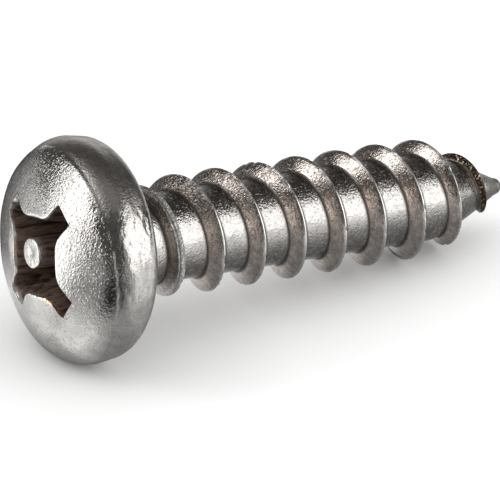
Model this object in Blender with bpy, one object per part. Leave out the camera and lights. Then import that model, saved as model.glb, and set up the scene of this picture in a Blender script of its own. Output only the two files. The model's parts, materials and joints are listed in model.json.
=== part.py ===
"""Pan head tapping screw with a cross recess, a centre pin in the recess and a gimlet point.

One piece of stainless steel. The blank is turned about local Z, with the bearing face under the
head at z = 0, the crown below it and the point at +Z. The rolled thread is a rib wound on the
blank. The recess is punched into the crown and leaves a pin standing in its middle. The finished
screw lies on its side, on the rim of its head and on one turn of its thread. Lengths are in metres.
"""

import math

import bmesh
import bpy
from mathutils import Matrix, Vector

# Head
HEAD_DIAMETER = 0.0119
HEAD_HEIGHT = 0.0042
CROWN_RADIUS = 0.0119
CORNER_RADIUS = 0.0018
RIM_RADIUS = 0.0008
SIDE_DRAFT_DEG = 8
NECK_FILLET = 0.0004

# Core of the shank and its point
LENGTH = 0.0253
ROOT_DIAMETER = 0.0047
POINT_LENGTH = 0.0052
POINT_FULLNESS = 1.25
TIP_RADIUS = 0.00045

# Rolled thread, right-handed
THREAD_DIAMETER = 0.00635
PITCH = 0.00254
FLANK_DEG = 30
CREST_WIDTH = 0.00016
FOOT_SHARE = 0.12
FOOT_SLOPE_DEG = 40
CREST_TAPER_LENGTH = 0.0058
CREST_FULLNESS = 1.6
RUN_IN_LENGTH = 0.0055
RUN_IN_SHARE = 0.3
RUN_OUT_LENGTH = 0.0003
BARE_TIP_LENGTH = 0.0005
THREAD_TURN_DEG = 154.5

# Cross recess: its depths are below the middle of the crown, and the punch sat a little off axis
RECESS_DIAMETER = 0.00695
WALL_DEPTH = 0.0034
FLOOR_DEPTH = 0.0038
WING_WIDTH = 0.00136
WING_SIDE_DRAFT_DEG = 3
WING_END_DRAFT_DEG = 26.5
LAND_GAP = 0.0041
LAND_DRAFT_DEG = 12
LAND_FILLET = 0.0012
RECESS_TURN_DEG = 30.5
RECESS_OFFSET = (0.00008, 0.00012, 0)

# Pin in the recess, level with the middle of the crown
PIN_DIAMETER = 0.00157
PIN_CHAMFER = 0.00008
PIN_OFFSET = (-0.00013, 0.00015, 0)

# How finely round shapes are drawn
SIDES = 48
PIN_SIDES = 24
CROWN_STEPS = 5
CORNER_STEPS = 5
RIM_STEPS = 4
FILLET_STEPS = 3
POINT_STEPS = 8

# How far a shape reaches into the one that carries it, and how far the cutter stands clear
SINK = 0.00012
CLEAR = 0.0004

STEEL_COLOUR = (0.60, 0.57, 0.54, 1.0)
STEEL_ROUGHNESS = 0.28
SHARP_ANGLE = math.radians(28)
FULL_TURN = 2 * math.pi

POINT_START = LENGTH - POINT_LENGTH
TAPER_START = LENGTH - CREST_TAPER_LENGTH
BALL_Z = LENGTH - TIP_RADIUS
RIB_START = -HEAD_HEIGHT / 5
RIB_END = LENGTH - BARE_TIP_LENGTH
CROWN_CENTRE_Z = CROWN_RADIUS - HEAD_HEIGHT


def clear_scene():
    for leftover in list(bpy.data.objects):
        bpy.data.objects.remove(leftover)


def steel():
    material = bpy.data.materials.new("stainless_steel")
    material.use_nodes = True
    shader = material.node_tree.nodes["Principled BSDF"]
    shader.inputs["Base Color"].default_value = STEEL_COLOUR
    shader.inputs["Metallic"].default_value = 1.0
    shader.inputs["Roughness"].default_value = STEEL_ROUGHNESS
    return material


def object_from(name, shape):
    """An object that holds the bmesh, with its faces pointing out."""
    bmesh.ops.recalc_face_normals(shape, faces=shape.faces)
    mesh = bpy.data.meshes.new(name)
    shape.to_mesh(mesh)
    shape.free()
    made = bpy.data.objects.new(name, mesh)
    bpy.context.scene.collection.objects.link(made)
    return made


def clamped(value):
    return min(max(value, 0.0), 1.0)


def arc(centre, radius, start_deg, end_deg, steps):
    """Points of an arc in a plane, its angles measured from the first axis to the second."""
    points = []
    for step in range(steps + 1):
        angle = math.radians(start_deg + (end_deg - start_deg) * step / steps)
        points.append((centre[0] + radius * math.cos(angle), centre[1] + radius * math.sin(angle)))
    return points


def tapered(z, start, full_radius, fullness):
    """A radius that runs down from full, at start, to the radius of the tip's ball."""
    share = clamped((z - start) / (BALL_Z - start))
    return TIP_RADIUS + (full_radius - TIP_RADIUS) * (1 - share**fullness)


def root_radius(z):
    return tapered(z, POINT_START, ROOT_DIAMETER / 2, POINT_FULLNESS)


def thread_height(z):
    """Height of the thread over the core. Its last bit dips into the core, so its end is hidden."""
    crest = tapered(z, TAPER_START, THREAD_DIAMETER / 2, CREST_FULLNESS)
    run_in = clamped(z / RUN_IN_LENGTH)
    risen = RUN_IN_SHARE + (1 - RUN_IN_SHARE) * math.sin(run_in * math.pi / 2)
    left = clamped((RIB_END - z) / RUN_OUT_LENGTH)
    return (crest - root_radius(z)) * risen * left - SINK / 2 * (1 - left)


def head_profile():
    """(r, z) points from the middle of the crown, round the side and rim, to the neck."""
    corner_r = HEAD_DIAMETER / 2 - CORNER_RADIUS
    corner_z = CROWN_CENTRE_Z - math.sqrt((CROWN_RADIUS - CORNER_RADIUS) ** 2 - corner_r**2)
    tangent_deg = math.degrees(math.atan2(corner_z - CROWN_CENTRE_Z, corner_r))
    crown = arc((0, CROWN_CENTRE_Z), CROWN_RADIUS, -90, tangent_deg, CROWN_STEPS)
    corner = arc((corner_r, corner_z), CORNER_RADIUS, tangent_deg, 0, CORNER_STEPS)
    draft = math.radians(SIDE_DRAFT_DEG)
    side_height = -RIM_RADIUS * (1 - math.sin(draft)) - corner_z
    side_foot_r = HEAD_DIAMETER / 2 - side_height * math.tan(draft)
    rim_centre = (side_foot_r - RIM_RADIUS * math.cos(draft), -RIM_RADIUS)
    rim = arc(rim_centre, RIM_RADIUS, SIDE_DRAFT_DEG, 90, RIM_STEPS)
    neck_centre = (ROOT_DIAMETER / 2 + NECK_FILLET, NECK_FILLET)
    neck = arc(neck_centre, NECK_FILLET, 270, 180, FILLET_STEPS)
    return crown + corner[1:] + rim + neck


def point_profile():
    """(r, z) points from the start of the point to the tip."""
    points = []
    for step in range(POINT_STEPS + 1):
        z = POINT_START + (BALL_Z - POINT_START) * step / POINT_STEPS
        points.append((root_radius(z), z))
    return points + arc((0, BALL_Z), TIP_RADIUS, 0, 90, FILLET_STEPS)[1:]


def pin_profile():
    """(r, z) points from the middle of the pin's top to its hidden foot."""
    radius = PIN_DIAMETER / 2
    top = -HEAD_HEIGHT
    foot = top + FLOOR_DEPTH + SINK
    bevel = [(radius - PIN_CHAMFER, top), (radius, top + PIN_CHAMFER)]
    return [(0, top), *bevel, (radius, foot), (0, foot)]


def turned(name, profile, sides):
    """A solid turned about Z from (r, z) points. It has the middle of a flat towards +X."""
    shape = bmesh.new()
    first, last = [shape.verts.new((0, 0, z)) for r, z in (profile[0], profile[-1])]
    rings = []
    for radius, z in profile[1:-1]:
        ring = []
        for side in range(sides):
            angle = (side + 0.5) * FULL_TURN / sides
            ring.append(shape.verts.new((radius * math.cos(angle), radius * math.sin(angle), z)))
        rings.append(ring)
    for side in range(sides):
        after = (side + 1) % sides
        shape.faces.new((first, rings[0][after], rings[0][side]))
        for near, far in zip(rings, rings[1:]):
            shape.faces.new((near[side], near[after], far[after], far[side]))
        shape.faces.new((rings[-1][side], rings[-1][after], last))
    return object_from(name, shape)


def rib_section(middle_z):
    """(r, z) points across the rib: hidden base, foot slope and flank, on both sides of the crest."""
    height = thread_height(middle_z)
    foot_height = FOOT_SHARE * height
    half_crest = CREST_WIDTH / 2
    half_foot = half_crest + max(height - foot_height, 0) * math.tan(math.radians(FLANK_DEG))
    half_base = half_foot + (foot_height + SINK) / math.tan(math.radians(FOOT_SLOPE_DEG))
    across = [(-half_base, -SINK), (-half_foot, foot_height), (-half_crest, height)]
    across += [(-offset, rise) for offset, rise in reversed(across)]
    return [(root_radius(middle_z + offset) + rise, middle_z + offset) for offset, rise in across]


def wound_rib(name):
    """The thread as a closed rib, from inside the head to the tip."""
    turn_share = THREAD_TURN_DEG / 360
    first = math.ceil((RIB_START / PITCH - turn_share) * SIDES)
    last = math.floor((RIB_END / PITCH - turn_share) * SIDES)
    shape = bmesh.new()
    sections = []
    for column in range(first, last + 1):
        angle = column * FULL_TURN / SIDES
        section = []
        for radius, z in rib_section(PITCH * (column / SIDES + turn_share)):
            section.append(shape.verts.new((radius * math.cos(angle), radius * math.sin(angle), z)))
        sections.append(section)
    for near, far in zip(sections, sections[1:]):
        for corner in range(len(near)):
            after = (corner + 1) % len(near)
            shape.faces.new((near[corner], near[after], far[after], far[corner]))
    shape.faces.new(sections[0])
    shape.faces.new(sections[-1])
    return object_from(name, shape)


def recess_outline(depth):
    """Points round the recess at a depth below the middle of the crown."""
    reach = RECESS_DIAMETER / 2
    mouth_depth = CROWN_RADIUS - math.sqrt(CROWN_RADIUS**2 - reach**2)
    wing_end = reach - (depth - mouth_depth) * math.tan(math.radians(WING_END_DRAFT_DEG))
    half_wing = WING_WIDTH / 2 - depth * math.tan(math.radians(WING_SIDE_DRAFT_DEG))
    land = LAND_GAP / 2 - depth * math.tan(math.radians(LAND_DRAFT_DEG))
    fillet_y = half_wing + LAND_FILLET
    fillet_x = (land + LAND_FILLET) * math.sqrt(2) - fillet_y
    leaving = arc((fillet_x, fillet_y), LAND_FILLET, 270, 225, FILLET_STEPS)
    entering = [(y, x) for x, y in reversed(leaving)]
    quarter = [(wing_end, -half_wing), (wing_end, half_wing), *leaving, *entering]
    points = []
    for wing in range(4):
        turn = Matrix.Rotation(math.radians(RECESS_TURN_DEG + 90 * wing), 3, "Z")
        points += [turn @ Vector((x, y, depth - HEAD_HEIGHT)) for x, y in quarter]
    return points


def recess_cutter(name):
    """The punch that makes the recess, standing clear of the crown."""
    shape = bmesh.new()
    mouth = [shape.verts.new(point) for point in recess_outline(-CLEAR)]
    bottom = [shape.verts.new(point) for point in recess_outline(WALL_DEPTH)]
    centre = shape.verts.new((0, 0, FLOOR_DEPTH - HEAD_HEIGHT))
    shape.faces.new(mouth)
    for corner in range(len(mouth)):
        after = (corner + 1) % len(mouth)
        shape.faces.new((mouth[corner], mouth[after], bottom[after], bottom[corner]))
        shape.faces.new((bottom[corner], bottom[after], centre))
    return object_from(name, shape)


def combine(target, tool, operation):
    """Joins the tool to the target, or cuts it out, and takes the tool away."""
    modifier = target.modifiers.new(tool.name, "BOOLEAN")
    modifier.operation = operation
    modifier.solver = "EXACT"
    modifier.object = tool
    graph = bpy.context.evaluated_depsgraph_get()
    target.data = bpy.data.meshes.new_from_object(target.evaluated_get(graph))
    target.modifiers.remove(modifier)
    bpy.data.objects.remove(tool)


def smooth(target):
    target.data.shade_smooth()
    target.data.set_sharp_from_angle(angle=SHARP_ANGLE)


def rest_tilt(points):
    """How far the point dips when the screw lies on its head's rim and on one turn of thread."""
    heel = max(points, key=lambda point: point.x)
    slopes = [(heel.x - point.x) / (point.z - heel.z) for point in points if point.z > 0]
    return math.atan(min(slopes))


def lay_down(target):
    """Lays the screw along X on the ground, its local +X side down and its middle over the origin."""
    points = [vertex.co.copy() for vertex in target.data.vertices]
    turn = Matrix.Rotation(math.pi / 2 + rest_tilt(points), 4, "Y")
    turned_points = [turn @ point for point in points]
    low = Vector([min(point[axis] for point in turned_points) for axis in range(3)])
    high = Vector([max(point[axis] for point in turned_points) for axis in range(3)])
    middle = (low + high) / 2
    target.rotation_euler = turn.to_euler()
    target.location = (-middle.x, -middle.y, -low.z)


clear_scene()
screw = turned("screw", head_profile() + point_profile(), SIDES)
screw.data.materials.append(steel())
recess = recess_cutter("recess_cutter")
recess.location = RECESS_OFFSET
pin = turned("recess_pin", pin_profile(), PIN_SIDES)
pin.location = PIN_OFFSET
combine(screw, wound_rib("thread_rib"), "UNION")
combine(screw, recess, "DIFFERENCE")
combine(screw, pin, "UNION")
smooth(screw)
lay_down(screw)
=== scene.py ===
"""Looks of the pan head tapping screw that lies on its side.

The solid is replaced by one finer piece of the same form, with the marks of heading, punching and
rolling. Shapes are drawn in the screw's own axes, in millimetres: local Z runs from the head to the
point, and the bearing face is at z = 0. Angles about Z start at local X, the side that faces down,
and grow towards local Y. The record's mount says how the screw lies.
"""

import json
import math

import bmesh
import bpy
import numpy as np
from mathutils import Matrix, Vector, noise


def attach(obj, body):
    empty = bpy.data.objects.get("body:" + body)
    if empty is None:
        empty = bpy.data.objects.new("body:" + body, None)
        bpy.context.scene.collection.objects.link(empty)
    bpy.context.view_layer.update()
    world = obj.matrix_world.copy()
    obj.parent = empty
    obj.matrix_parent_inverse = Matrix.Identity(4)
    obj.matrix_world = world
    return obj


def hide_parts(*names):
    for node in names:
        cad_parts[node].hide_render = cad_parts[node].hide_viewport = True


# Head
HEAD_DIAMETER = 11.9
HEAD_HEIGHT = 4.2
CROWN_RADIUS = 11.9
CORNER_RADIUS = 1.8
RIM_RADIUS = 0.8
SIDE_DRAFT_DEG = 8
NECK_FILLET = 0.4

# Core of the shank and its point
LENGTH = 25.3
ROOT_DIAMETER = 4.7
POINT_LENGTH = 5.2
POINT_FULLNESS = 1.25
TIP_RADIUS = 0.45

# The ball at the tip is drawn this much larger than its radius, and this far back from the tip
BALL_SWELL = 0.003
BALL_SINK = 0.008

# Rolled thread, right-handed
THREAD_DIAMETER = 6.35
PITCH = 2.54
FLANK_DEG = 32.5
CREST_WIDTH = 0.09
CREST_DROP = 0.015
FOOT_SHARE = 0.03
FOOT_SLOPE_DEG = 45
CREST_TAPER_LENGTH = 5.8
CREST_FULLNESS = 1.6
RUN_IN_LENGTH = 5.5
RUN_IN_SHARE = 0.3
RUN_OUT_LENGTH = 0.3
BARE_TIP_LENGTH = 0.5
THREAD_TURN_DEG = 154.5

# Cross recess and the pin in it
RECESS_DIAMETER = 6.95
WALL_DEPTH = 3.4
WING_WIDTH = 1.36
WING_SIDE_DRAFT_DEG = 3
WING_END_DRAFT_DEG = 26.5
LAND_GAP = 4.1
LAND_DRAFT_DEG = 12
LAND_FILLET = 1.2
RECESS_TURN_DEG = 30.5
RECESS_OFFSET = (0.08, 0.12)
LIP_RADIUS = 0.06
CROWN_CLEARANCE = 0.5
PIN_DIAMETER = 1.57
PIN_CHAMFER = 0.08
PIN_DENT = 0.09
PIN_OFFSET = (-0.13, 0.15)
PIN_FOOT_DEPTH = 3.7

# Marks of making: the punch's burrs at two wing ends, a land that rolled over and one that tore
BURR_HEIGHT = 0.15
BURR_LIP = 0.08
BURR_COLUMNS = 12
ROLLED_LIP = 0.2
ROLLED_COLUMNS = 30
TORN_DEPTH = 0.1
TORN_REACH = 1.0
TORN_COLUMNS = 30
TORN_SHIFT = -6

# The heading die's edge runs round the head as a crease, in a plane that is a little off square
CREASE_Z = -2.28
CREASE_TILT = 0.107
CREASE_TOWARDS_DEG = 206
CREASE_STEP = 0.035
CREASE_EDGE = (-0.02, 0.05)
CREASE_FADE = 0.35

# A worn flat on the head's upper corner, and the seam that the rolling left in the first crest
FLAT_TOWARDS_DEG = 135
FLAT_SPREAD_DEG = 15
FLAT_EDGE = (4.2, 5.2)
FLAT_DEPTH = 0.07
SEAM_Z = 2.85
SEAM_REACH = 0.75
SEAM_WIDTH = 0.17
SEAM_DEPTH = 0.16
SEAM_MARGIN = 0.02
SEAM_GROOVE_HALF = 0.05

# How deep the unevenness of the head and of the shank is, the scuffs on the head's side, and the
# nicks in the crests, which show where the noise is over the first of their levels
HEAD_WAVES = 0.012
SHANK_WAVES = 0.006
SCUFF_DEPTH = 0.05
NICK_DEPTH = 0.07
NICK_LEVELS = (0.32, 0.6)

# The wear leaves out the side that the screw lies on, and sets in over this range of angles
UNWORN_RADIANS = (0.06, 0.4)

# Middle and reach, in degrees round the axis: where the lip's painted highlight is golden at a wing
# and, less, at a land, where a land's highlight is painted, where shade is painted on the shank's top
# and underside, and where the head's side is darkest
GILDED_WING = (322, 26)
GILDED_LAND = (75, 35)
GILDED_LAND_SHARE = 0.7
HIGHLIT_LAND = (80, 34)
SHADED_TOPSIDE = (180, 75)
SHADED_UNDERSIDE = (322, 70)
DARKEST_SIDE = (330, 80)
SIDE_DARKENING_ELSEWHERE = 0.45

# The scuffs on the head's side set in over the first of these ranges of degrees and fade over the
# second, and are this strong elsewhere
SCUFFS_START = (218, 236)
SCUFFS_END = (300, 335)
SCUFFS_ELSEWHERE = 0.3

# Along the axis: where the head's surfaces end and where the recess does, how far inside the
# bearing face the head's wear fades, where the root, the thread and the shank's painted shade and
# wear start, where that shade thins out on top, and where the scorched turn and the bare tip start
HEAD_ENDS = 0.02
RECESS_ENDS = -0.4
HEAD_WEAR_FADES = (0.1, 0.5)
ROOT_STARTS = (0.1, 0.4)
THREAD_STARTS = 0.3
SHANK_WEAR_STARTS = (0.4, 0.9)
TOP_SHADE_THINS = (3, 14)
SCORCH_STARTS = (22.0, 22.5)
TIP_STARTS = (23.7, 24.2)

# A thread lower than this has no surfaces of its own
LEAST_THREAD = 0.1

# Up the thread, from 0 at its foot to 1 at its crest, where each kind of surface starts or ends
ROOT_ENDS = (0.04, 0.12)
FLANK_STARTS = (0.06, 0.2)
SCORCH_RISES = (0.08, 0.4)
SHOULDER_STARTS = (0.3, 0.85)
CREST_STARTS = (0.9, 0.98)

# The recess's surfaces reach this far past its diameter, the pin's this far from the axis, and the
# land's painted highlight this far below the crown
RECESS_MARGIN = 0.4
PIN_REACH = 1.5
HIGHLIT_LAND_DEPTH = 0.1

# Soft edges between kinds of surface, in millimetres: below the crown for the recess, its lip and
# the pin's side, out from the pin's side for the pin's top, out from the axis for the land's painted
# highlight, past the die's crease for the head's side, and to both sides of the flank's foot
RECESS_EDGE = (0.05, 0.3)
LIP_TOP_EDGE = (0.004, 0.02)
LIP_FOOT_EDGE = (0.07, 0.16)
PIN_TOP_EDGE = (-0.08, -0.03)
PIN_SIDE_EDGE = (0.03, 0.08)
HIGHLIT_LAND_EDGE = (2.7, 3.0)
CROWN_EDGE = (-0.04, 0.06)
DRAWN_EDGE = (0, 0.05)
SCUFFED_EDGE = (0, 0.1)
FOOT_LINE_EDGE = (0.03, 0.08)

# The solid's round shapes have this many sides, and a round surface inside them is that much smaller
SOLID_SIDES = 48
ROUND_SHARE = math.cos(math.pi / SOLID_SIDES)

# How finely the piece is drawn: steps along the head's profile and down the recess, and columns
# round the head, shared out over a quarter of the recess, and round the shank
CROWN_STEPS = 3
CORNER_STEPS = 20
SIDE_STEPS = 8
RIM_STEPS = 10
UNDER_STEPS = 6
NECK_STEPS = 6
PIN_STEPS = 9
WALL_STEPS = 21
MOUTH_STEPS = 8
WING_END_COLUMNS = 16
WING_SIDE_COLUMNS = 14
FILLET_COLUMNS = 17
NOSE_COLUMNS = 18
QUARTER_COLUMNS = WING_END_COLUMNS + 2 * WING_SIDE_COLUMNS + 2 * FILLET_COLUMNS + NOSE_COLUMNS
HEAD_COLUMNS = 4 * QUARTER_COLUMNS
SHANK_COLUMNS = 144

# The shank starts inside the head, and the neck's end is hidden this deep inside the shank
SHANK_START = -0.2
NECK_SINK = 0.03

# The search for the recess's depth at its mouth starts here
MOUTH_DEPTH_GUESS = 0.3

# Edges with a sharper bend than this aren't shaded smooth
SHARP_DEG = 35

# The mount's point is this far from the axis, on the side that faces up
MOUNT_FROM_AXIS = 4.4

# The camera stands where the photograph was taken from
CAMERA_PLACE = (-0.143917, -0.218717, 0.138019)
CAMERA_AXES = (
    (0.837731, 0.250947, -0.485009),
    (-0.546084, 0.385077, -0.743981),
    (0.000066, 0.888111, 0.459629),
)
LENS = 404.358
SENSOR = 36.0

# Studio, in metres. The camera sees the floor shaded within the contact reach. The metal sees it
# dimmed within the reflected reach: its light runs from the first level to the second as its
# openness does.
FLOOR_HALF = 1.5
FLOOR_DROP = 0.00002
FLOOR_GREY = 0.6
FLOOR_LIFT = 0.80
CONTACT_REACH = 0.009
REFLECTED_REACH = 0.024
REFLECTED_OPENNESS = (0.35, 1.0)
REFLECTED_LIGHT = (0.05, 1.0)
ROOM_COLOUR = (0.10, 0.096, 0.092)
BACKDROP_DIRECTION = (0.540, 0.828, -0.19)
BACKDROP_EDGE = (0.78, 0.95)

# Soft boxes at one distance round the screw: direction, width, height and radiance
BOX_DISTANCE = 0.5
BOXES = {
    "right_box": ((0.4863, -0.8471, 0.39), 0.56, 0.5, 2.2),
    "left_box": ((-0.819, 0.483, 0.375), 0.22, 0.45, 2.9),
    "high_left_box": ((-0.60, 0.11, 0.75), 0.3, 0.28, 0.7),
    "top_box": ((-0.12, -0.20, 0.97), 0.3, 0.3, 0.24),
    "fill_box": ((-0.225, -0.974, 0.36), 0.17, 0.34, 0.4),
}

# Cards lie on the floor round the head, out of the camera's sight, for the metal to reflect. Each
# one is a piece of a ring about the head's foot: its lift, its first and last direction in degrees,
# and its inner and outer radius. Then come its light near the head and its light far from it, each
# with a middle direction, a reach to both sides of it, the light in the middle, and the light from
# the reach on. Between the two distances below, the near light goes over to the far one.
HEAD_FOOT = (-0.0125, 0)
CARDS = {
    "front_card": (0.0003, (-217, -57), (0.003, 0.25), (-70, 70, 0.28, 1.35), (-136, 74, 0.02, 1.4)),
    "back_card": (0.0003, (32, 122), (0.007, 0.3), (80, 44, 1.2, 1.2), (80, 44, 0.10, 1.2)),
    "left_card": (0.0005, (125, 175), (0.0035, 0.15), (147, 25, 1.2, 0.7), (147, 21, 2.8, 0.3)),
}
CARD_NEAR_ENDS = 0.004
CARD_FAR_STARTS = 0.014
CARD_DIRECTIONS = 33
CARD_RINGS = 13

# A strip of card runs along the floor under the shank. Its light, by the distance behind the axis.
STRIP_LIFT = 0.0004
STRIP_ENDS = (-0.009, 0.026)
STRIP_COLUMNS = 9
STRIP_LIGHT = (
    (-0.013, 1.05),
    (-0.008, 0.6),
    (-0.004, 0.31),
    (-0.001, 0.23),
    (0, 0.52),
    (0.003, 0.85),
    (0.014, 1.0),
)

# Colours, from dark to light where there are two
WHITE = (1, 1, 1)
STEEL = ((0.45, 0.437, 0.42), (0.53, 0.516, 0.498))
WARM_FLANK = ((0.46, 0.42, 0.392), (0.82, 0.72, 0.65))
PUNCHED_WALL = ((0.075, 0.048, 0.036), (0.42, 0.31, 0.26))
SCORCHED = ((0.06, 0.042, 0.031), (0.78, 0.60, 0.44))
# Painted shade on the upper flanks, next to the crests
SHOULDER_SHADE = (0.16, 0.135, 0.12)
# Darkens the head's side, most of all towards the side that faces down
SIDE_DARKENING = (0.28, 0.24, 0.21)
PAINTED_SHANK_SHADE = (0.12, 0.10, 0.09)
# Painted shade on the shank's top and underside
SPECK = (0.10, 0.085, 0.075)
# Painted shade along the flanks' feet, where they meet the roots
FOOT_SHADE = (0.07, 0.05, 0.04)
# Painted highlight along the crests
CREST_HIGHLIGHT = (0.72, 0.705, 0.68)
# Painted highlight along the seam
SEAM_HIGHLIGHT = (0.86, 0.85, 0.83)
# Painted shade in the seam's groove
SEAM_GROOVE_SHADE = (0.05, 0.04, 0.03)
TIP_STEEL = (0.29, 0.28, 0.26)
# Painted highlight on the recess's lip, the pin's top edge and a land
LIP_HIGHLIGHT = (0.85, 0.84, 0.83)
# Painted highlight on the lip, golden at a wing and a land
GOLDEN_LIP_HIGHLIGHT = (0.80, 0.48, 0.22)

# How rough the plain steel is, and how much rougher each kind of surface is
ROUGHNESS = (0.09, 0.17)
EXTRA_ROUGHNESS = {
    "flank": 0.08,
    "root": 0.04,
    "crest": 0.14,
    "scuffed": 0.04,
    "drawn": 0.17,
    "foot": 0.3,
    "recess": 0.2,
    # rougher where the highlight is painted on the lip
    "lip_highlight": 0.2,
    "tip": 0.2,
}

FULL_TURN = 2 * math.pi
MM = 0.001
TAPER_START = LENGTH - CREST_TAPER_LENGTH
POINT_START = LENGTH - POINT_LENGTH
BALL_Z = LENGTH - TIP_RADIUS
CROWN_CENTRE_Z = CROWN_RADIUS - HEAD_HEIGHT
TURN_SHARE = THREAD_TURN_DEG / 360


def tan(degrees):
    return math.tan(math.radians(degrees))


def arc(centre, radius, start_deg, end_deg, steps):
    """Points of an arc in a plane, its angles measured from the first axis to the second."""
    angles = np.radians(np.linspace(start_deg, end_deg, steps + 1))
    return np.stack([centre[0] + radius * np.cos(angles), centre[1] + radius * np.sin(angles)], -1)


def mixed(first, second, share):
    return first + (second - first) * share


def eased(value, start, end):
    """0 before start, 1 after end, and a smooth rise between."""
    share = np.clip((value - start) / (end - start), 0, 1)
    return share * share * (3 - 2 * share)


def ripple(points, size, seed):
    """Smooth noise from -1 to 1 at each point, with swells of about the given size."""
    shift = Vector((seed * 7.3, seed * 3.1, seed * 5.7))
    return np.array([noise.noise(Vector(point) / size + shift) for point in points])


def tapered(z, start, full_radius, fullness):
    """A radius that runs down from full, at start, to the radius of the tip's ball."""
    share = np.clip((z - start) / (BALL_Z - start), 0, 1)
    return TIP_RADIUS + (full_radius - TIP_RADIUS) * (1 - share**fullness)


def root_radius(z):
    return tapered(z, POINT_START, ROOT_DIAMETER / 2, POINT_FULLNESS)


def thread_height(z):
    crest = tapered(z, TAPER_START, THREAD_DIAMETER / 2, CREST_FULLNESS)
    run_in = np.clip(z / RUN_IN_LENGTH, 0, 1)
    risen = RUN_IN_SHARE + (1 - RUN_IN_SHARE) * np.sin(run_in * math.pi / 2)
    left = np.clip((LENGTH - BARE_TIP_LENGTH - z) / RUN_OUT_LENGTH, 0, 1)
    return np.maximum((crest - root_radius(z)) * risen * left, 0)


def thread_rows(height, seam):
    """Offsets from the crest and rises over the core, from one valley's middle to the next."""
    foot = FOOT_SHARE * height
    half_crest = CREST_WIDTH / 2
    half_foot = half_crest + (height - foot) * tan(FLANK_DEG)
    half_base = half_foot + foot / tan(FOOT_SLOPE_DEG)
    crest_edge = half_crest + SEAM_WIDTH * seam
    rows = []
    for share in (0, 0.2, 0.4, 0.6, 0.8):
        rows.append((mixed(PITCH / 2, half_base, share), 0 * height))
    for share in (0, 0.25, 0.5, 0.75):
        rows.append((mixed(half_base, half_foot, share), foot * share**1.5))
    for share in (0, 0.15, 0.35, 0.6, 0.85):
        rows.append((mixed(half_foot, crest_edge, share), mixed(foot, height, share)))
    rows.append((crest_edge * 0.95, height - CREST_DROP * 0.6))
    rows.append((crest_edge * 0.5, height - CREST_DROP * 0.1 - SEAM_DEPTH * 0.6 * seam))
    before = [(-offset, rise) for offset, rise in rows]
    after = [(offset, rise) for offset, rise in reversed(rows[1:])]
    return before + [(0 * height, height - SEAM_DEPTH * seam)] + after


def seam_share(crest_z):
    """1 where the crest is split by its seam, and 0 where it is whole."""
    return eased(SEAM_REACH - abs(crest_z - SEAM_Z), 0, SEAM_REACH * 0.7)


def shank_mesh():
    """The shank as a closed mesh that starts inside the head and ends inside the tip's ball."""
    first = math.floor(((SHANK_START - PITCH / 2) / PITCH - TURN_SHARE) * SHANK_COLUMNS)
    last = math.ceil(((BALL_Z + PITCH) / PITCH - TURN_SHARE) * SHANK_COLUMNS)
    columns = np.arange(first, last + 1)
    crest_z = PITCH * (columns / SHANK_COLUMNS + TURN_SHARE)
    section = thread_rows(thread_height(crest_z), seam_share(crest_z))
    rows = len(section)
    z = crest_z[:, None] + np.stack([offset for offset, rise in section], -1)
    radius = root_radius(z) + np.stack([rise for offset, rise in section], -1)
    angle = np.repeat(columns[:, None] * FULL_TURN / SHANK_COLUMNS, rows, 1)
    points = np.stack([radius * np.cos(angle), radius * np.sin(angle), z], -1)
    shape = bmesh.new()
    grid = [[shape.verts.new(point) for point in column] for column in points]

    def vertex(column, row):
        """The vertex there. The row past a turn's last one is the first row of the next turn."""
        if row < rows:
            return grid[column][row]
        return grid[column + SHANK_COLUMNS][0] if column + SHANK_COLUMNS < len(grid) else None

    for column in range(len(grid) - 1):
        for row in range(rows):
            corners = (
                vertex(column, row),
                vertex(column + 1, row),
                vertex(column + 1, row + 1),
                vertex(column, row + 1),
            )
            if None not in corners:
                shape.faces.new(corners)
    for height, side in ((SHANK_START, 1), (BALL_Z, -1)):
        bmesh.ops.bisect_plane(
            shape,
            geom=shape.verts[:] + shape.edges[:] + shape.faces[:],
            plane_co=(0, 0, height),
            plane_no=(0, 0, side),
            clear_inner=True,
        )
    for edge in [edge for edge in shape.edges if edge.is_wire]:
        shape.edges.remove(edge)
    open_edges = [edge for edge in shape.edges if edge.is_boundary]
    for height in (SHANK_START, BALL_Z):
        middle = shape.verts.new((0, 0, height))
        for edge in open_edges:
            if abs(edge.verts[0].co.z - height) < 0.01:
                shape.faces.new((*edge.verts, middle))
    return shape


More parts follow.
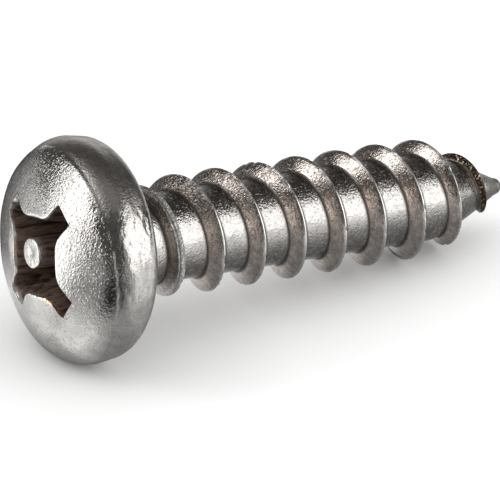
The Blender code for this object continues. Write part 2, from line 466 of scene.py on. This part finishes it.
def side_profile():
    """(r, z) points of the head from just past the recess, over the corner and rim, to the neck."""
    corner_r = HEAD_DIAMETER / 2 - CORNER_RADIUS
    corner_z = CROWN_CENTRE_Z - math.sqrt((CROWN_RADIUS - CORNER_RADIUS) ** 2 - corner_r**2)
    tangent_deg = math.degrees(math.atan2(corner_z - CROWN_CENTRE_Z, corner_r))
    clear_r = RECESS_DIAMETER / 2 + CROWN_CLEARANCE
    clear_deg = -math.degrees(math.acos(clear_r / CROWN_RADIUS))
    crown = arc((0, CROWN_CENTRE_Z), CROWN_RADIUS, clear_deg, tangent_deg, CROWN_STEPS)
    corner = arc((corner_r, corner_z), CORNER_RADIUS, tangent_deg, 0, CORNER_STEPS)
    side_height = -RIM_RADIUS * (1 - math.sin(math.radians(SIDE_DRAFT_DEG))) - corner_z
    side_foot_r = HEAD_DIAMETER / 2 - side_height * tan(SIDE_DRAFT_DEG)
    rim_centre = (side_foot_r - RIM_RADIUS * math.cos(math.radians(SIDE_DRAFT_DEG)), -RIM_RADIUS)
    rim = arc(rim_centre, RIM_RADIUS, SIDE_DRAFT_DEG, 90, RIM_STEPS)
    side = mixed(corner[-1], rim[0], np.linspace(0, 1, SIDE_STEPS + 1)[1:-1, None])
    neck_centre = (ROOT_DIAMETER / 2 + NECK_FILLET, NECK_FILLET)
    neck = arc(neck_centre, NECK_FILLET, 270, 180, NECK_STEPS)
    under = mixed(rim[-1], neck[0], np.linspace(0, 1, UNDER_STEPS + 1)[1:-1, None])
    foot = [(neck[-1][0] - NECK_SINK, NECK_FILLET + NECK_SINK)]
    return np.concatenate([crown, corner[1:], side, rim, under, neck, foot])


def crown_depth(x, y):
    """Depth of the crown's surface below its middle."""
    return CROWN_RADIUS - np.sqrt(np.maximum(CROWN_RADIUS**2 - x**2 - y**2, 0))


def quarter_outline(depth):
    """(x, y) points round a quarter of the recess, from one wing to the next, at each depth."""
    reach = RECESS_DIAMETER / 2
    wing_end = reach - (depth - crown_depth(reach, 0)) * tan(WING_END_DRAFT_DEG)
    half_wing = WING_WIDTH / 2 - depth * tan(WING_SIDE_DRAFT_DEG)
    land = LAND_GAP / 2 - depth * tan(LAND_DRAFT_DEG)
    fillet_y = half_wing + LAND_FILLET
    fillet_x = (land + LAND_FILLET) * math.sqrt(2) - fillet_y
    points = []
    for share in np.arange(WING_END_COLUMNS) / WING_END_COLUMNS:
        points.append((wing_end, mixed(-half_wing, half_wing, share)))
    for share in np.arange(WING_SIDE_COLUMNS) / WING_SIDE_COLUMNS:
        points.append((mixed(wing_end, fillet_x, share), half_wing))
    fillet = []
    for share in np.arange(FILLET_COLUMNS) / (FILLET_COLUMNS - 1):
        angle = math.radians(mixed(270, 225, share))
        x = fillet_x + LAND_FILLET * math.cos(angle)
        y = fillet_y + LAND_FILLET * math.sin(angle)
        fillet.append((x, y))
    nose_x, nose_y = fillet[-1]
    points += fillet
    for share in np.arange(1, NOSE_COLUMNS + 1) / (NOSE_COLUMNS + 1):
        points.append((mixed(nose_x, nose_y, share), mixed(nose_y, nose_x, share)))
    points += [(y, x) for x, y in reversed(fillet)]
    for share in np.arange(1, WING_SIDE_COLUMNS + 1) / (WING_SIDE_COLUMNS + 1):
        points.append((half_wing, mixed(fillet_x, wing_end, share)))
    return points


def recess_outline(depth):
    """(x, y) points round the recess. Each point has a depth of its own."""
    outline = np.zeros((HEAD_COLUMNS, 2))
    for wing in range(4):
        angle = math.radians(RECESS_TURN_DEG + 90 * wing)
        first = wing * QUARTER_COLUMNS
        points = quarter_outline(depth[first : first + QUARTER_COLUMNS])
        for column, (along, across) in enumerate(points):
            x, y = along[column], across[column]
            turned_x = x * math.cos(angle) - y * math.sin(angle)
            turned_y = x * math.sin(angle) + y * math.cos(angle)
            outline[first + column] = (turned_x, turned_y)
    return outline + np.array(RECESS_OFFSET)


def mouth():
    """The recess's outline where its walls meet the crown, and its depth there, step by step."""
    depth = np.full(HEAD_COLUMNS, MOUTH_DEPTH_GUESS)
    for _ in range(MOUTH_STEPS):
        outline = recess_outline(depth)
        depth = crown_depth(outline[:, 0], outline[:, 1])
    return outline, depth


def outward(outline):
    """Unit vectors that point away from the recess, out of its outline."""
    along = np.roll(outline, -1, 0) - np.roll(outline, 1, 0)
    across = np.stack([along[:, 1], -along[:, 0]], -1)
    return across / np.linalg.norm(across, axis=1, keepdims=True)


def ring(radius, z, centre=(0, 0)):
    """A level circle of points, as (x, y, z), whose first point is in line with the recess's."""
    start = math.radians(RECESS_TURN_DEG) - math.atan2(WING_WIDTH, RECESS_DIAMETER)
    angles = np.arange(HEAD_COLUMNS) * FULL_TURN / HEAD_COLUMNS + start
    x = centre[0] + radius * np.cos(angles)
    y = centre[1] + radius * np.sin(angles)
    return np.stack([x, y, np.full(HEAD_COLUMNS, float(z))], -1)


def near_column(middle, reach):
    """1 at the middle column, and less on both sides down to 0 at the reach."""
    gap = (np.arange(HEAD_COLUMNS) - middle + HEAD_COLUMNS / 2) % HEAD_COLUMNS - HEAD_COLUMNS / 2
    return eased(reach - abs(gap), 0, reach)


def pin_rings():
    """Rings of points from the pin's top, down its side and out over the floor."""
    top = -HEAD_HEIGHT
    radius = PIN_DIAMETER / 2
    rings = []
    for share in (0.3, 0.6, 0.85):
        rings.append(ring(share * (radius - PIN_CHAMFER), top, PIN_OFFSET))
    for bevel_r, z in arc((radius - PIN_CHAMFER, top + PIN_CHAMFER), PIN_CHAMFER, 270, 360, 4):
        rings.append(ring(bevel_r, z, PIN_OFFSET))
    for share in np.linspace(0, 1, PIN_STEPS + 1)[1:]:
        z = mixed(top + PIN_CHAMFER, top + PIN_FOOT_DEPTH, share)
        rings.append(ring(radius, z, PIN_OFFSET))
    bottom = recess_outline(np.full(HEAD_COLUMNS, WALL_DEPTH))
    floor_edge = np.column_stack([bottom, np.full(HEAD_COLUMNS, top + WALL_DEPTH)])
    foot = rings[-1]
    for share in (0.25, 0.5, 0.75):
        rings.append(mixed(foot, floor_edge, share))
    return rings


def recess_rings():
    """Rings of points up the recess's walls and over its lip, with the punch's marks."""
    top = -HEAD_HEIGHT
    end_middle = WING_END_COLUMNS / 2
    nose_middle = (QUARTER_COLUMNS + WING_END_COLUMNS) / 2
    rolled = near_column(QUARTER_COLUMNS + nose_middle, ROLLED_COLUMNS)
    torn = near_column(3 * QUARTER_COLUMNS + nose_middle + TORN_SHIFT, TORN_COLUMNS)
    burr = near_column(end_middle, BURR_COLUMNS)
    burr = burr + near_column(QUARTER_COLUMNS + end_middle, BURR_COLUMNS)
    lip = LIP_RADIUS + ROLLED_LIP * rolled + BURR_LIP * burr
    edge, edge_depth = mouth()
    away = outward(edge)
    rings = []
    for share in np.linspace(0, 1, WALL_STEPS + 1)[:-1]:
        depth = mixed(WALL_DEPTH, edge_depth + lip, share)
        points = np.column_stack([recess_outline(depth), top + depth])
        near_mouth = torn * eased(depth - edge_depth, TORN_REACH, 0.1)
        rough = ripple(points, 0.22, 3) * near_mouth * TORN_DEPTH
        points[:, :2] -= away * rough[:, None]
        rings.append(points)
    for turn, raised in ((25, 0.5), (50, 1.0), (70, 0.7), (90, 0.2)):
        slant = math.radians(turn)
        moved = edge + away * (lip * (1 - math.cos(slant)))[:, None]
        depth = crown_depth(moved[:, 0], moved[:, 1]) + lip * (1 - math.sin(slant))
        points = np.column_stack([moved, top + depth])
        jagged = 0.6 + 0.8 * ripple(points, 0.3, 5)
        points[:, 2] -= BURR_HEIGHT * raised * burr * jagged
        points[:, 2] += TORN_DEPTH * torn * (0.5 + ripple(points, 0.18, 8)) * (1 - slant / math.pi)
        rings.append(points)
    return rings


def head_mesh():
    """The head as a closed mesh, with its neck's end hidden inside the shank."""
    rings = pin_rings() + recess_rings()
    lip = rings[-1]
    profile = side_profile()
    circle = ring(*profile[0])
    for share in (0.04, 0.1, 0.18, 0.28, 0.4, 0.54, 0.7, 0.85):
        moved = mixed(lip[:, :2], circle[:, :2], share)
        rings.append(np.column_stack([moved, crown_depth(*moved.T) - HEAD_HEIGHT]))
    rings += [ring(radius, z) for radius, z in profile]
    shape = bmesh.new()
    first = shape.verts.new((*PIN_OFFSET, PIN_DENT - HEAD_HEIGHT))
    last = shape.verts.new((0, 0, NECK_FILLET + NECK_SINK))
    loops = [[shape.verts.new(point) for point in points] for points in rings]
    for column in range(HEAD_COLUMNS):
        after = (column + 1) % HEAD_COLUMNS
        shape.faces.new((first, loops[0][after], loops[0][column]))
        for near, far in zip(loops, loops[1:]):
            shape.faces.new((near[column], near[after], far[after], far[column]))
        shape.faces.new((loops[-1][column], loops[-1][after], last))
    return shape


def ball_mesh():
    """The blunt end of the point, a hair inside the solid's."""
    shape = bmesh.new()
    bmesh.ops.create_uvsphere(shape, u_segments=48, v_segments=24, radius=TIP_RADIUS + BALL_SWELL)
    bmesh.ops.translate(shape, verts=shape.verts, vec=(0, 0, BALL_Z - BALL_SINK))
    return shape


def object_from(name, shape):
    bmesh.ops.recalc_face_normals(shape, faces=shape.faces)
    mesh = bpy.data.meshes.new(name)
    shape.to_mesh(mesh)
    shape.free()
    made = bpy.data.objects.new(name, mesh)
    bpy.context.scene.collection.objects.link(made)
    return made


def join(target, tool):
    """Joins the tool's solid to the target's and takes the tool away."""
    modifier = target.modifiers.new(tool.name, "BOOLEAN")
    modifier.operation = "UNION"
    modifier.solver = "MANIFOLD"
    modifier.object = tool
    graph = bpy.context.evaluated_depsgraph_get()
    target.data = bpy.data.meshes.new_from_object(target.evaluated_get(graph))
    target.modifiers.remove(modifier)
    bpy.data.objects.remove(tool)


def near_angle(degrees, middle, reach):
    """1 at the middle angle, and less on both sides down to 0 at the reach."""
    return eased(reach - abs((degrees - middle + 180) % 360 - 180), 0, reach)


def over_crease(points):
    """How far each point is past the die's crease, towards the shank."""
    towards = math.radians(CREASE_TOWARDS_DEG)
    across = points[:, 0] * math.cos(towards) + points[:, 1] * math.sin(towards)
    return points[:, 2] - (CREASE_Z - CREASE_TILT * across)


def head_zones(points):
    """How much each vertex belongs to each kind of surface on the head, from 0 to 1."""
    x, y, z = points.T
    radius = np.hypot(x, y)
    degrees = np.degrees(np.arctan2(y, x)) % 360
    sunk = z + HEAD_HEIGHT - crown_depth(x, y)
    crease = over_crease(points)
    on_head = z < HEAD_ENDS
    near_recess = on_head & (radius < RECESS_DIAMETER / 2 + RECESS_MARGIN) & (z < RECESS_ENDS)
    recess = near_recess * eased(sunk, *RECESS_EDGE)
    outside = on_head * (1 - recess)

    from_pin = np.hypot(x - PIN_OFFSET[0], y - PIN_OFFSET[1]) - PIN_DIAMETER / 2
    past_pin = radius > PIN_REACH
    at_pin = eased(from_pin, *PIN_TOP_EDGE) * (1 - eased(sunk, *PIN_SIDE_EDGE)) * (radius < PIN_REACH)
    at_mouth = eased(abs(sunk), *LIP_TOP_EDGE) * (1 - eased(sunk, *LIP_FOOT_EDGE)) * past_pin
    lip = near_recess * np.maximum(at_mouth, at_pin)
    gilded_land = GILDED_LAND_SHARE * near_angle(degrees, *GILDED_LAND)
    gilded = np.maximum(near_angle(degrees, *GILDED_WING), gilded_land)
    # A highlight is painted on the land near the axis
    highlit_land = near_angle(degrees, *HIGHLIT_LAND) * (1 - eased(radius, *HIGHLIT_LAND_EDGE))
    highlit_land *= (sunk < HIGHLIT_LAND_DEPTH) * past_pin

    scuffs = eased(degrees, *SCUFFS_START) * (1 - eased(degrees, *SCUFFS_END))
    drawn = outside * eased(crease, *DRAWN_EDGE) * (1 - scuffs)
    # The head's side darkens, most of all towards the side that faces down
    darkening = mixed(SIDE_DARKENING_ELSEWHERE, 1, near_angle(degrees, *DARKEST_SIDE))
    return {
        "recess": recess,
        # painted highlight on the lip and the pin's edge, and on the land
        "lip_highlight": np.maximum(lip * (1 - gilded), near_recess * highlit_land),
        # the lip's painted highlight where it is golden
        "golden_lip_highlight": lip * gilded,
        "crown": outside * (1 - eased(crease, *CROWN_EDGE)),
        "scuffed": outside * eased(crease, *SCUFFED_EDGE) * mixed(SCUFFS_ELSEWHERE, 1, scuffs),
        "drawn": drawn,
        "darker_side": drawn * darkening,
    }


def shank_zones(points):
    """How much each vertex belongs to each kind of surface on the shank, from 0 to 1."""
    x, y, z = points.T
    radius = np.hypot(x, y)
    degrees = np.degrees(np.arctan2(y, x)) % 360
    phase = (z / PITCH - degrees / 360 - TURN_SHARE + 0.5) % 1 - 0.5
    crest_z = z - phase * PITCH
    height = thread_height(crest_z)
    rise = np.clip((radius - root_radius(z)) / np.maximum(height, 0.05), 0, 1)
    on_thread = (z > THREAD_STARTS) & (height > LEAST_THREAD)
    offset = abs(phase) * PITCH
    from_foot = offset - CREST_WIDTH / 2 - height * tan(FLANK_DEG)
    # A line of painted shade along the flank's foot
    foot_line = on_thread * (1 - eased(abs(from_foot), *FOOT_LINE_EDGE))
    in_seam = offset < CREST_WIDTH / 2 + SEAM_WIDTH + SEAM_MARGIN
    seam = on_thread * seam_share(crest_z) * in_seam
    crest = np.maximum(on_thread * eased(rise, *CREST_STARTS), seam)
    bare_root = 1 - eased(rise, *ROOT_ENDS)
    # Shade is painted on the roots along the top and the underside, and near the head over the whole
    # top
    topside = near_angle(degrees, *SHADED_TOPSIDE) * np.maximum(bare_root, 1 - eased(z, *TOP_SHADE_THINS))
    underside = near_angle(degrees, *SHADED_UNDERSIDE) * bare_root
    return {
        "crest": crest,
        "seam": seam,
        "flank": on_thread * eased(rise, *FLANK_STARTS) * (1 - crest),
        # The upper flank, where shade is painted
        "shoulder": on_thread * eased(rise, *SHOULDER_STARTS) * (1 - crest),
        # Where shade is painted: along the flanks' feet and in the middle of the seam's groove
        "foot": np.maximum(foot_line, seam * (offset < SEAM_GROOVE_HALF)),
        "root": eased(z, *ROOT_STARTS) * bare_root,
        "shank_shade": eased(z, *SHANK_WEAR_STARTS) * np.maximum(topside, underside),
        "burnt": on_thread * eased(crest_z, *SCORCH_STARTS) * eased(rise, *SCORCH_RISES),
        "tip": eased(z, *TIP_STARTS),
    }


def wear_depth(points, zones):
    """How far wear and the marks of making sink each vertex below the plain form."""
    x, y, z = points.T
    angle = np.arctan2(y, x)
    degrees = np.degrees(angle) % 360
    crease = over_crease(points)
    step = np.exp(-np.maximum(crease, 0) / CREASE_FADE) * eased(crease, *CREASE_EDGE)
    flat = np.exp(-(((degrees - FLAT_TOWARDS_DEG) / FLAT_SPREAD_DEG) ** 2))
    flat *= eased(np.hypot(x, y), *FLAT_EDGE)
    stretched = points * np.array([1, 1, 3.0])
    scuffs = zones["scuffed"] * np.maximum(ripple(stretched, 0.5, 2), 0)
    head = HEAD_WAVES * (1 + ripple(points, 1.2, 1))
    head = head + CREASE_STEP * step + FLAT_DEPTH * flat + SCUFF_DEPTH * scuffs
    on_head = (zones["crown"] + zones["scuffed"] > 0) * eased(-z, *HEAD_WEAR_FADES)
    nicks = zones["crest"] * eased(ripple(points, 0.3, 4), *NICK_LEVELS)
    shank = SHANK_WAVES * (1 + ripple(points, 0.7, 6)) + NICK_DEPTH * nicks
    on_shank = eased(z, *SHANK_WEAR_STARTS) * (z < BALL_Z)
    clear_of_ground = eased(abs(angle), *UNWORN_RADIANS)
    return (on_head * head + on_shank * shank) * clear_of_ground


def wear_down(target):
    """Sinks the wear into the mesh, stores what the material reads, and gives the zones' names."""
    mesh = target.data
    count = 3 * len(mesh.vertices)
    points = np.zeros(count)
    normals = np.zeros(count)
    mesh.vertices.foreach_get("co", points)
    mesh.vertex_normals.foreach_get("vector", normals)
    points = points.reshape(-1, 3)
    zones = {**head_zones(points), **shank_zones(points)}
    place = mesh.attributes.new("local_mm", "FLOAT_VECTOR", "POINT")
    place.data.foreach_set("vector", points.ravel())
    for name, shares in zones.items():
        mesh.attributes.new(name, "FLOAT", "POINT").data.foreach_set("value", shares.astype(float))
    moved = points - normals.reshape(-1, 3) * wear_depth(points, zones)[:, None]
    mesh.vertices.foreach_set("co", moved.ravel())
    mesh.update()
    return list(zones)


def placement():
    """From the screw's own axes, in millimetres, to where it lies."""
    mount = frame["record"]["mounts"][0]
    axis = Vector(mount["axis"]).normalized()
    side = Vector((0, 1, 0))
    down = side.cross(axis)
    centre = Vector(mount["pos_m"]) + down * MOUNT_FROM_AXIS * MM
    turned = Matrix((down, side, axis)).transposed()
    return Matrix.Translation(centre) @ turned.to_4x4() @ Matrix.Scale(MM, 4)


def add_node(tree, kind, inputs, **settings):
    """A node with its settings, and with each input linked to a socket or set to a value."""
    made = tree.nodes.new(kind)
    for name, value in settings.items():
        setattr(made, name, value)
    for name, value in inputs.items():
        if isinstance(value, bpy.types.NodeSocket):
            tree.links.new(value, made.inputs[name])
        else:
            made.inputs[name].default_value = value
    return made


class Shading:
    """Short ways to build the nodes of a material or a world. Each call gives its result's socket."""

    def __init__(self, owner):
        owner.use_nodes = True
        self.tree = owner.node_tree

    def result(self, kind, inputs, output=0, **settings):
        return add_node(self.tree, kind, inputs, **settings).outputs[output]

    def attribute(self, name, output="Fac"):
        return self.result("ShaderNodeAttribute", {}, output, attribute_name=name)

    def math(self, operation, first, second):
        return self.result("ShaderNodeMath", {0: first, 1: second}, operation=operation)

    def rest_of(self, share):
        return self.math("SUBTRACT", 1.0, share)

    def sum(self, first, second):
        return self.math("ADD", first, second)

    def times(self, first, second):
        return self.math("MULTIPLY", first, second)

    def stretched(self, place, factors):
        return self.result("ShaderNodeVectorMath", {0: place, 1: factors}, operation="MULTIPLY")

    def noise(self, place, scale, detail=2.0, roughness=0.5):
        inputs = {"Vector": place, "Scale": scale, "Detail": detail, "Roughness": roughness}
        return self.result("ShaderNodeTexNoise", inputs)

    def ranged(self, value, low, high, to_low=0.0, to_high=1.0):
        inputs = {
            "Value": value,
            "From Min": low,
            "From Max": high,
            "To Min": to_low,
            "To Max": to_high,
        }
        return self.result("ShaderNodeMapRange", inputs, interpolation_type="SMOOTHSTEP")

    def blended(self, share, first, second):
        made = add_node(self.tree, "ShaderNodeMix", {}, data_type="RGBA")
        for index, value in {0: share, 6: first, 7: second}.items():
            if isinstance(value, bpy.types.NodeSocket):
                self.tree.links.new(value, made.inputs[index])
            else:
                made.inputs[index].default_value = (*value, 1)
        return made.outputs[2]


def steel_colour(shading, place, zones):
    """Mottled steel that goes warm on the flanks and dark where the tools left oxide and oil. Shade
    is painted on the upper flanks, along the flanks' feet, in the seam's groove and on the shank's
    top and underside, and highlights are painted on the crests, the seam and the recess's lip. The
    head's side is darker, most of all towards the side that faces down.
    """
    times = shading.times
    blotch = shading.ranged(shading.noise(place, 1.6, 3.0), 0.35, 0.65)
    tint = shading.ranged(shading.noise(place, 3.0, 4.0, 0.7), 0.34, 0.66)
    shade_mottle = shading.ranged(shading.noise(place, 4.0, 4.0, 0.7), 0.3, 0.6)
    speck = shading.ranged(shading.noise(place, 8.0, 2.0, 0.6), 0.56, 0.66)
    speck = times(speck, shading.rest_of(times(zones["crown"], 0.8)))
    streak = shading.noise(shading.stretched(place, (4.0, 4.0, 0.5)), 1.0, 4.0, 0.6)
    streak = shading.ranged(streak, 0.36, 0.64)
    spark = shading.ranged(shading.noise(place, 8.0, 1.0), 0.58, 0.68)
    colour = shading.blended(blotch, *STEEL)
    for share, over in (
        (times(zones["flank"], 0.85), shading.blended(tint, *WARM_FLANK)),
        # painted shade on the upper flanks, next to the crests
        (times(zones["shoulder"], 0.3), SHOULDER_SHADE),
        # the head's side, darker most of all towards the side that faces down
        (times(zones["darker_side"], 0.6), SIDE_DARKENING),
        # painted shade on the shank's top and underside, mottled
        (times(times(zones["shank_shade"], 0.85), shade_mottle), PAINTED_SHANK_SHADE),
        (times(speck, 0.35), SPECK),
        # painted shade along the flanks' feet
        (times(zones["foot"], 0.8), FOOT_SHADE),
        # painted highlight along the crests
        (times(zones["crest"], 0.8), CREST_HIGHLIGHT),
        # painted highlight along the seam
        (zones["seam"], SEAM_HIGHLIGHT),
        # painted shade in the seam's groove
        (times(zones["seam"], times(zones["foot"], 0.9)), SEAM_GROOVE_SHADE),
        (times(zones["tip"], 0.9), TIP_STEEL),
        (zones["recess"], shading.blended(streak, *PUNCHED_WALL)),
        # painted highlight on the recess's lip, the pin's edge and a land
        (zones["lip_highlight"], LIP_HIGHLIGHT),
        # painted highlight on the lip, golden at a wing and a land
        (zones["golden_lip_highlight"], GOLDEN_LIP_HIGHLIGHT),
        (zones["burnt"], shading.blended(spark, *SCORCHED)),
    ):
        colour = shading.blended(share, colour, over)
    return colour


def steel_roughness(shading, place, zones):
    rough = shading.ranged(shading.noise(place, 3.0), 0.3, 0.7, *ROUGHNESS)
    for name, amount in EXTRA_ROUGHNESS.items():
        rough = shading.sum(rough, shading.times(zones[name], amount))
    return rough


def steel_relief(shading, place, zones):
    """Height of the fine relief, in millimetres: grain, pits, beads, waves, scratches and streaks."""
    grain = shading.noise(place, 9.5, 1.0)
    pits = shading.ranged(shading.noise(place, 6.5, 1.0), 0.72, 0.58)
    beads = shading.noise(place, 5.5, 2.0)
    waves = shading.noise(place, 3.0, 3.0, 0.6)
    scratches = shading.noise(shading.stretched(place, (1.2, 1.2, 7.0)), 1.0)
    streaks = shading.noise(shading.stretched(place, (8.0, 8.0, 0.5)), 1.0)
    height = shading.times(shading.noise(place, 4.0), 0.004)
    for name, pattern, depth in (
        ("crown", grain, 0.019),
        ("crown", waves, 0.009),
        ("crown", pits, 0.012),
        ("scuffed", scratches, 0.009),
        ("scuffed", grain, 0.011),
        ("drawn", grain, 0.017),
        ("root", waves, 0.016),
        ("root", grain, 0.014),
        ("root", pits, 0.005),
        ("flank", grain, 0.020),
        ("flank", pits, 0.008),
        ("tip", grain, 0.03),
        ("shank_shade", grain, 0.033),
        ("shank_shade", pits, 0.025),
        ("recess", streaks, 0.03),
        ("burnt", grain, 0.05),
        ("seam", beads, 0.12),
    ):
        height = shading.sum(height, shading.times(zones[name], shading.times(pattern, depth)))
    return height


def steel_material(zone_names):
    material = bpy.data.materials.new("stainless_steel")
    shading = Shading(material)
    shader = shading.tree.nodes["Principled BSDF"]
    place = shading.attribute("local_mm", "Vector")
    zones = {name: shading.attribute(name) for name in zone_names}
    relief = {"Height": steel_relief(shading, place, zones), "Distance": MM, "Strength": 1.0}
    links = shading.tree.links
    links.new(steel_colour(shading, place, zones), shader.inputs["Base Color"])
    links.new(steel_roughness(shading, place, zones), shader.inputs["Roughness"])
    links.new(shading.result("ShaderNodeBump", relief), shader.inputs["Normal"])
    links.new(shading.rest_of(shading.times(zones["recess"], 0.7)), shader.inputs["Metallic"])
    return material


def detailed_screw():
    screw = object_from("screw_steel", head_mesh())
    join(screw, object_from("shank", shank_mesh()))
    join(screw, object_from("tip_ball", ball_mesh()))
    zone_names = wear_down(screw)
    screw.data.shade_smooth()
    screw.data.set_sharp_from_angle(angle=math.radians(SHARP_DEG))
    screw.data.transform(Matrix.Diagonal((ROUND_SHARE, ROUND_SHARE, 1, 1)))
    screw.data.transform(placement())
    screw.data.materials.clear()
    screw.data.materials.append(steel_material(zone_names))
    return screw


def add_camera():
    camera = bpy.data.objects.new("camera", bpy.data.cameras.new("camera"))
    bpy.context.scene.collection.objects.link(camera)
    camera.matrix_world = Matrix.Translation(CAMERA_PLACE) @ Matrix(CAMERA_AXES).to_4x4()
    camera.data.lens = LENS
    camera.data.sensor_width = SENSOR
    camera.data.clip_start = 0.001
    bpy.context.scene.camera = camera
    bpy.context.scene.view_settings.view_transform = "Standard"


def add_floor():
    """A pale floor, white to the camera and in the metal, that keeps the shade round the screw."""
    material = bpy.data.materials.new("pale_floor")
    shading = Shading(material)
    shading.tree.nodes.clear()
    rays = add_node(shading.tree, "ShaderNodeLightPath", {}).outputs
    seen = shading.math("MAXIMUM", rays["Is Camera Ray"], rays["Is Transmission Ray"])
    near = shading.result("ShaderNodeAmbientOcclusion", {"Distance": CONTACT_REACH}, "AO")
    wide = shading.result("ShaderNodeAmbientOcclusion", {"Distance": REFLECTED_REACH}, "AO")
    dimmed = shading.ranged(wide, *REFLECTED_OPENNESS, *REFLECTED_LIGHT)
    share = shading.sum(shading.times(seen, near), shading.times(rays["Is Glossy Ray"], dimmed))
    strength = shading.times(share, FLOOR_LIFT)
    grey = (FLOOR_GREY, FLOOR_GREY, FLOOR_GREY, 1)
    lit = shading.result("ShaderNodeBsdfDiffuse", {"Color": grey})
    glow = shading.result("ShaderNodeEmission", {"Color": (*WHITE, 1), "Strength": strength})
    both = shading.result("ShaderNodeAddShader", {0: lit, 1: glow})
    add_node(shading.tree, "ShaderNodeOutputMaterial", {"Surface": both})
    shape = bmesh.new()
    bmesh.ops.create_grid(shape, x_segments=8, y_segments=8, size=FLOOR_HALF)
    floor = object_from("floor", shape)
    floor.location.z = -FLOOR_DROP
    floor.data.materials.append(material)


def add_room():
    """A dim room with a white backdrop behind the screw."""
    world = bpy.data.worlds.new("studio")
    bpy.context.scene.world = world
    shading = Shading(world)
    shading.tree.nodes.clear()
    direction = shading.result("ShaderNodeTexCoord", {}, "Generated")
    inputs = {0: direction, 1: BACKDROP_DIRECTION}
    behind = shading.result("ShaderNodeVectorMath", inputs, "Value", operation="DOT_PRODUCT")
    colour = shading.blended(shading.ranged(behind, *BACKDROP_EDGE), ROOM_COLOUR, WHITE)
    room = shading.result("ShaderNodeBackground", {"Color": colour, "Strength": 1.0})
    add_node(shading.tree, "ShaderNodeOutputWorld", {"Surface": room})


def soft_box(name, direction, width, height, radiance):
    """A soft light panel that looks at the screw from a direction."""
    light = bpy.data.lights.new(name, "AREA")
    light.shape = "RECTANGLE"
    light.size = width
    light.size_y = height
    light.energy = radiance * math.pi * width * height
    made = bpy.data.objects.new(name, light)
    bpy.context.scene.collection.objects.link(made)
    place = Vector(direction).normalized() * BOX_DISTANCE
    made.location = place
    made.rotation_euler = place.to_track_quat("Z", "Y").to_euler()
    made.visible_camera = False


def add_sheet(name, place, rows):
    """A sheet through rows of points (x, y, light). It glows, and only the metal reflects it."""
    shape = bmesh.new()
    light = shape.verts.layers.float.new("light")
    grid = []
    for row in rows:
        vertices = []
        for x, y, glow in row:
            vertex = shape.verts.new((x, y, 0))
            vertex[light] = glow
            vertices.append(vertex)
        grid.append(vertices)
    for before, after in zip(grid, grid[1:]):
        for first in range(len(before) - 1):
            shape.faces.new((before[first], before[first + 1], after[first + 1], after[first]))
    sheet = object_from(name, shape)
    sheet.location = place
    material = bpy.data.materials.new(name)
    shading = Shading(material)
    shading.tree.nodes.clear()
    inputs = {"Color": (*WHITE, 1), "Strength": shading.attribute("light")}
    glow = shading.result("ShaderNodeEmission", inputs)
    add_node(shading.tree, "ShaderNodeOutputMaterial", {"Surface": glow})
    sheet.data.materials.append(material)
    sheet.visible_camera = False
    sheet.visible_diffuse = False
    sheet.visible_shadow = False


def add_strip():
    """A strip along the floor under the shank: dim before it, dark below it and bright behind it."""
    along = np.linspace(*STRIP_ENDS, STRIP_COLUMNS)
    rows = [[(x, y, glow) for x in along] for y, glow in STRIP_LIGHT]
    add_sheet("strip", (0, 0, STRIP_LIFT), rows)


def card_light(towards_deg, middle_deg, reach_deg, middle_light, outer_light):
    """Light of a card in one direction, from its middle's out to the light past its reach."""
    share = min(abs(towards_deg - middle_deg) / reach_deg, 1)
    return mixed(middle_light, outer_light, share**2)


def add_card(name, lift, directions, reach, near_light, far_light):
    """A piece of a ring on the floor about the head's foot, with a light of its own everywhere."""
    rows = []
    for towards_deg in np.linspace(*directions, CARD_DIRECTIONS):
        towards = math.radians(towards_deg)
        near = card_light(towards_deg, *near_light)
        far = card_light(towards_deg, *far_light)
        row = []
        for gap in np.geomspace(*reach, CARD_RINGS):
            glow = mixed(near, far, eased(gap, CARD_NEAR_ENDS, CARD_FAR_STARTS))
            row.append((gap * math.cos(towards), gap * math.sin(towards), glow))
        rows.append(row)
    add_sheet(name, (*HEAD_FOOT, lift), rows)


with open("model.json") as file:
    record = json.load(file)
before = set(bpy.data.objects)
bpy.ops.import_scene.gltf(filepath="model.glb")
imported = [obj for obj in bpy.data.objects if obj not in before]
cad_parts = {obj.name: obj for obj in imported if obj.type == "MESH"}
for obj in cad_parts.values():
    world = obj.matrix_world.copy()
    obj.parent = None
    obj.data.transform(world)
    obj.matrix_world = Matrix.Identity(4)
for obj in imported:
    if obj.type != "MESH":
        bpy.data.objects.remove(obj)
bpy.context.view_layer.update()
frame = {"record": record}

screw_piece = detailed_screw()
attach(screw_piece, "root")
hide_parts("screw")

add_camera()
add_floor()
add_room()
for box_name, box in BOXES.items():
    soft_box(box_name, *box)
for card_name, card in CARDS.items():
    add_card(card_name, *card)
add_strip()
